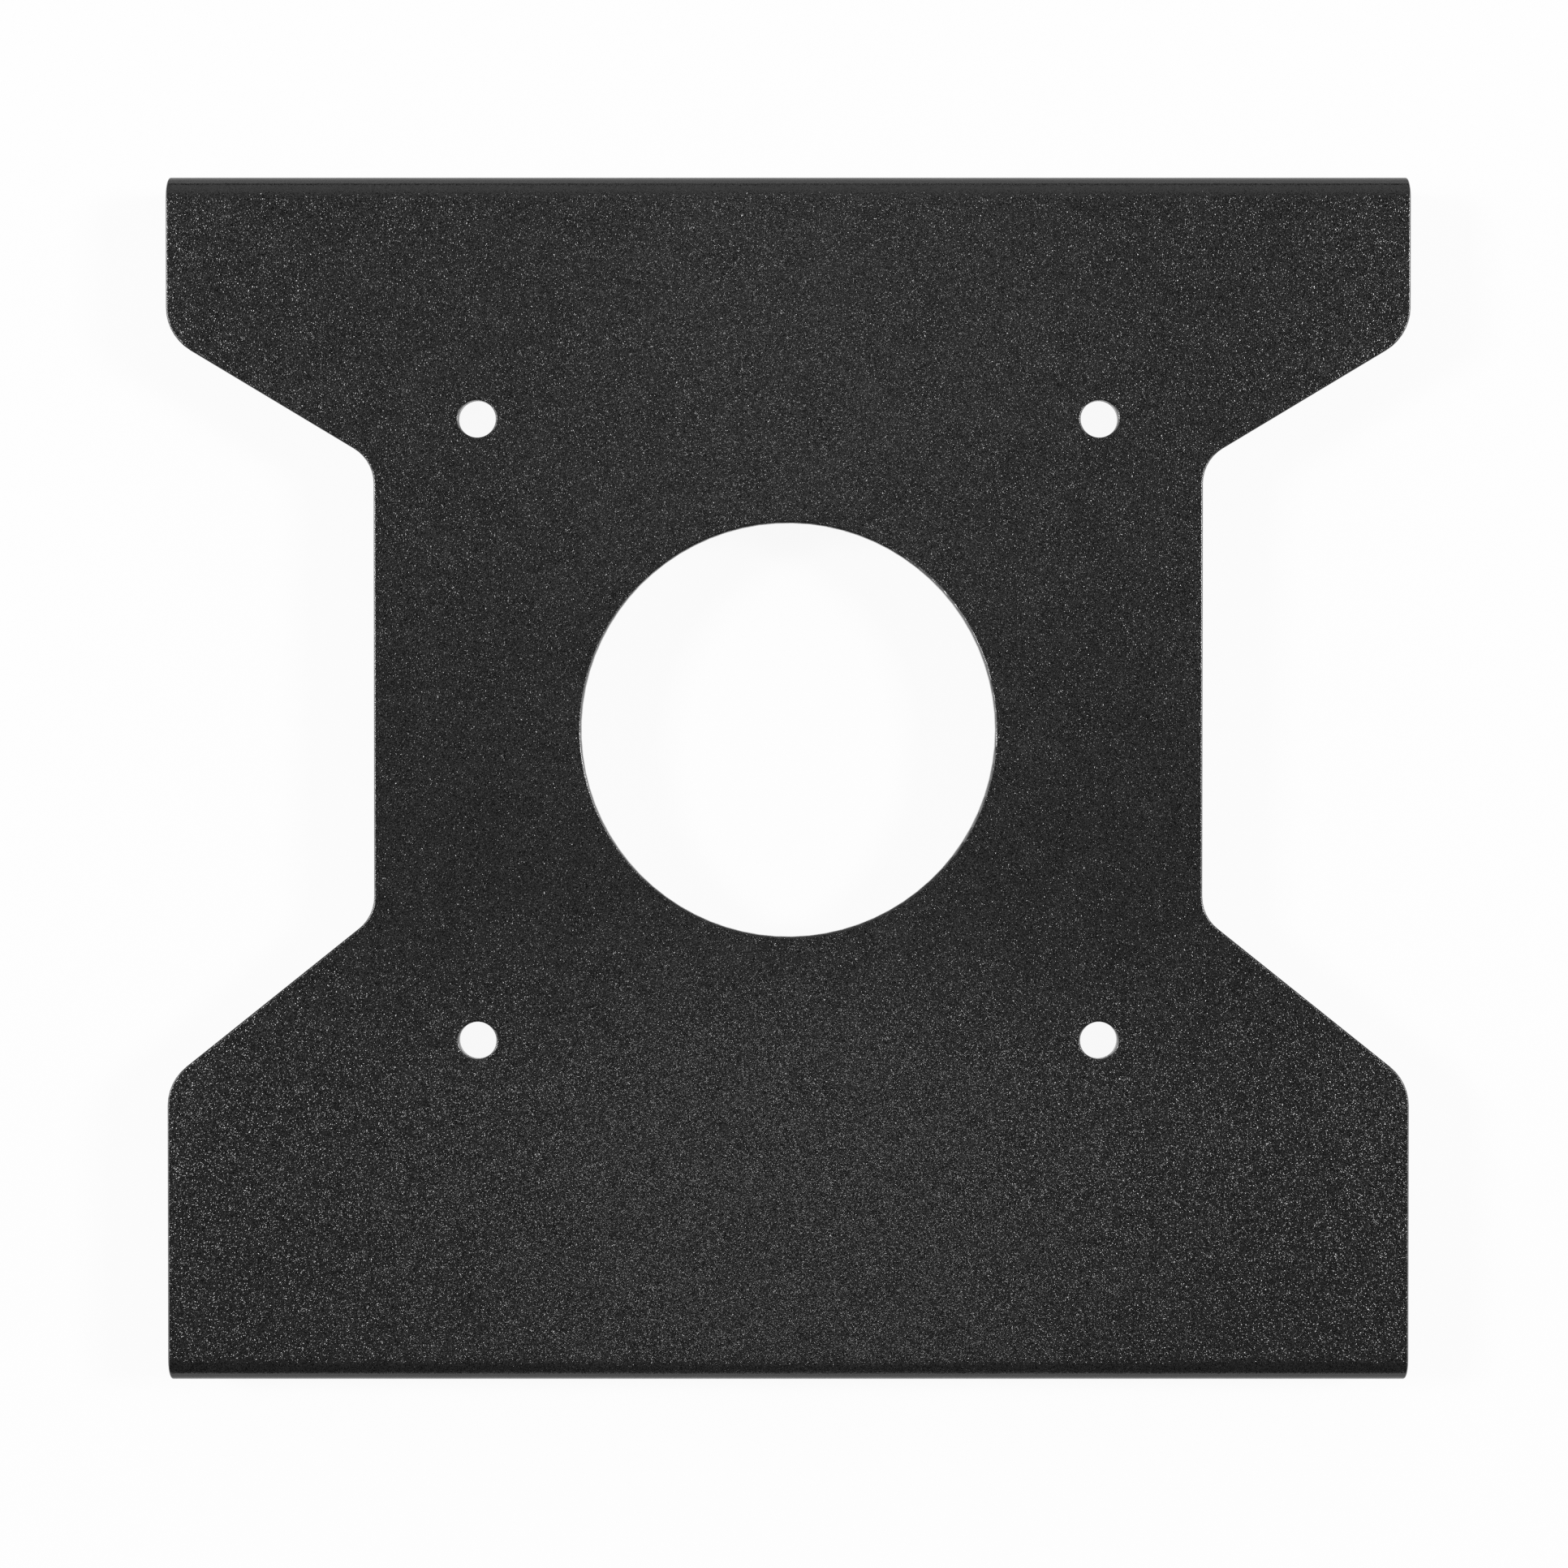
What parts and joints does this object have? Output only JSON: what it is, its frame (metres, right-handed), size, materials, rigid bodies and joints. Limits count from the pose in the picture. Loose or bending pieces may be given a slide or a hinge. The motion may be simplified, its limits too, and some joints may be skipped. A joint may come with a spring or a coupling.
{
  "type": "cover plate",
  "caption": "Folded sheet-metal cover plate with a narrow waist, a large central cable hole, a square pattern of screw holes and two turned-back edges.",
  "frame": {"origin": "middle of the plate's width and height, on the surface that the free edges of both flanges rest on", "axes": "+X across the plate to the right, +Y up the plate to the edge nearer the central hole, +Z out of the front face"},
  "size_m": [0.15, 0.146, 0.012],
  "materials": {
    "powder_coat": "fine-textured satin black powder coat"
  },
  "bodies": {
    "root": {"cover_plate": "powder_coat"}
  },
  "joints": []
}
